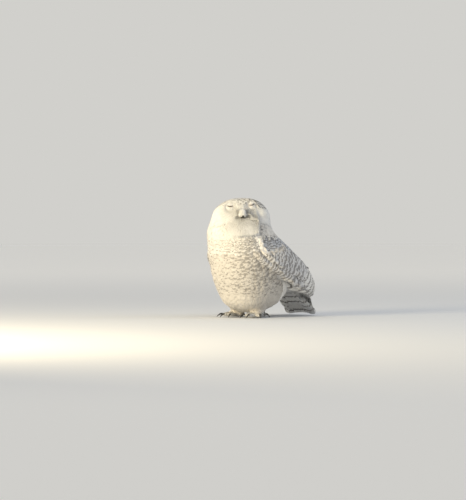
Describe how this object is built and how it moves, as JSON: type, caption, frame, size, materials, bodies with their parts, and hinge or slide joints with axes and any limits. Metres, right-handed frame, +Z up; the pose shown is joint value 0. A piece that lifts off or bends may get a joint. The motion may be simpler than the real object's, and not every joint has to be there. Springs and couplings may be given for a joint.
{
  "type": "snowy owl",
  "caption": "Life-size still model of a snowy owl crouched on the ground, head turned over its left side and eyes nearly shut.",
  "frame": {"origin": "on the floor, under the middle of the box round the whole bird", "axes": "+Z up, the breast faces -Y and the tail +Y, +X to the bird's left"},
  "size_m": [0.2868, 0.3986, 0.372],
  "materials": {
    "white_plumage": "soft matt white down and short feathers",
    "barred_plumage": "matt white feathers with narrow brown bars",
    "flight_feathers": "smooth satin white vanes with dark brown bars",
    "horn": "polished black horn",
    "iris": "wet glassy yellow eye"
  },
  "bodies": {
    "root": {"head": "white_plumage", "neck": "white_plumage", "trunk": "barred_plumage", "tail": "flight_feathers", "wing_left_coverts": "barred_plumage", "wing_left_secondaries": "flight_feathers", "wing_left_primaries": "flight_feathers", "wing_right_coverts": "barred_plumage", "wing_right_secondaries": "flight_feathers", "wing_right_primaries": "flight_feathers", "leg_left": "white_plumage", "leg_right": "white_plumage", "foot_left": "white_plumage", "foot_right": "white_plumage", "claw_left_1": "horn", "claw_left_2": "horn", "claw_left_3": "horn", "claw_left_4": "horn", "claw_right_1": "horn", "claw_right_2": "horn", "claw_right_3": "horn", "claw_right_4": "horn", "bill_upper": "horn", "bill_lower": "horn", "eye_left": "iris", "eye_right": "iris"}
  },
  "joints": []
}
